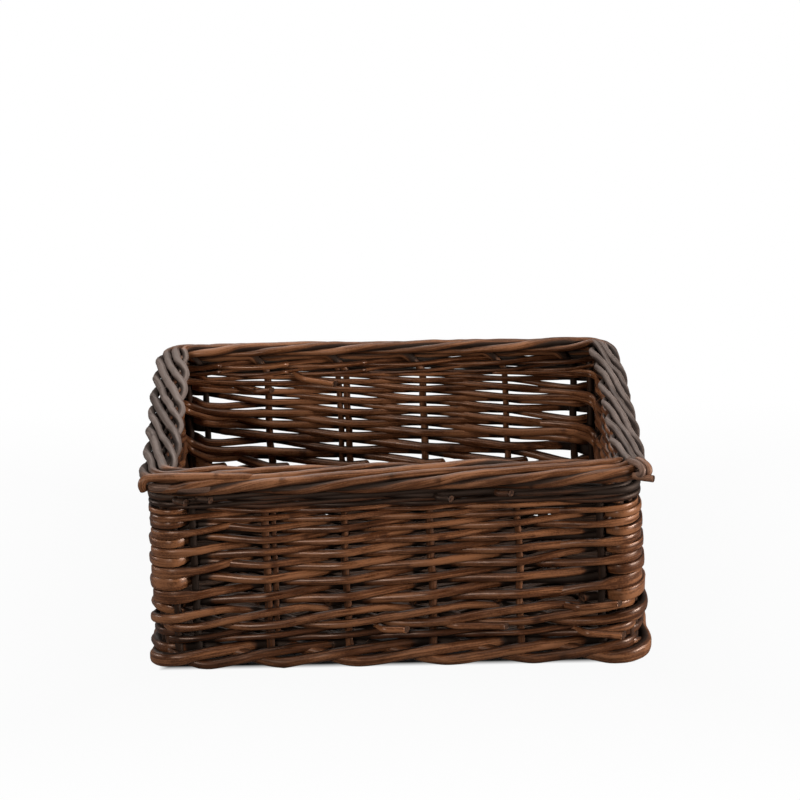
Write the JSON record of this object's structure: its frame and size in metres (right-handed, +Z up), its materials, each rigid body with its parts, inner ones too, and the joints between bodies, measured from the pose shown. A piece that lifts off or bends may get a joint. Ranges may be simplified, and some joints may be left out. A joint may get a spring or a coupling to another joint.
{
  "type": "wicker storage basket",
  "caption": "Open rectangular basket of dark stained willow: upright stakes rolled into a thick border, woven walls, a raised woven base and a scalloped foot.",
  "frame": {"origin": "on the ground under the middle of the basket", "axes": "+X to the right along the longer side, +Y from the front wall to the back wall, +Z up"},
  "size_m": [0.34, 0.334, 0.1398],
  "materials": {
    "stake_willow": "stained dark brown, satin",
    "weaver_willow": "stained dark brown, satin",
    "wale_willow": "stained dark brown, satin",
    "foot_willow": "stained dark brown, satin",
    "base_willow": "stained dark brown, low sheen"
  },
  "bodies": {
    "root": {"stake_and_border_strand_01": "stake_willow", "stake_and_border_strand_02": "stake_willow", "stake_and_border_strand_03": "stake_willow", "stake_and_border_strand_04": "stake_willow", "stake_and_border_strand_05": "stake_willow", "stake_and_border_strand_06": "stake_willow", "stake_and_border_strand_07": "stake_willow", "stake_and_border_strand_08": "stake_willow", "stake_and_border_strand_09": "stake_willow", "stake_and_border_strand_10": "stake_willow", "stake_and_border_strand_11": "stake_willow", "stake_and_border_strand_12": "stake_willow", "stake_and_border_strand_13": "stake_willow", "stake_and_border_strand_14": "stake_willow", "stake_and_border_strand_15": "stake_willow", "stake_and_border_strand_16": "stake_willow", "stake_and_border_strand_17": "stake_willow", "stake_and_border_strand_18": "stake_willow", "stake_and_border_strand_19": "stake_willow", "stake_and_border_strand_20": "stake_willow", "stake_and_border_strand_21": "stake_willow", "stake_and_border_strand_22": "stake_willow", "stake_and_border_strand_23": "stake_willow", "stake_and_border_strand_24": "stake_willow", "stake_and_border_strand_25": "stake_willow", "stake_and_border_strand_26": "stake_willow", "randing_weaver_01": "weaver_willow", "randing_weaver_02": "weaver_willow", "randing_weaver_03": "weaver_willow", "randing_weaver_04": "weaver_willow", "randing_weaver_05": "weaver_willow", "randing_weaver_06": "weaver_willow", "randing_weaver_07": "weaver_willow", "randing_weaver_08": "weaver_willow", "randing_weaver_09": "weaver_willow", "randing_weaver_10": "weaver_willow", "randing_weaver_11": "weaver_willow", "randing_weaver_12": "weaver_willow", "randing_weaver_13": "weaver_willow", "randing_weaver_14": "weaver_willow", "randing_weaver_15": "weaver_willow", "randing_weaver_16": "weaver_willow", "randing_weaver_17": "weaver_willow", "randing_weaver_18": "weaver_willow", "randing_weaver_19": "weaver_willow", "randing_weaver_20": "weaver_willow", "randing_weaver_21": "weaver_willow", "randing_weaver_22": "weaver_willow", "randing_weaver_23": "weaver_willow", "randing_weaver_24": "weaver_willow", "randing_weaver_25": "weaver_willow", "randing_weaver_26": "weaver_willow", "upsett_wale": "wale_willow", "foot_wale": "foot_willow", "base_stick_1": "base_willow", "base_stick_2": "base_willow", "base_stick_3": "base_willow", "base_stick_4": "base_willow", "base_stick_5": "base_willow", "base_weave": "base_willow"}
  },
  "joints": []
}
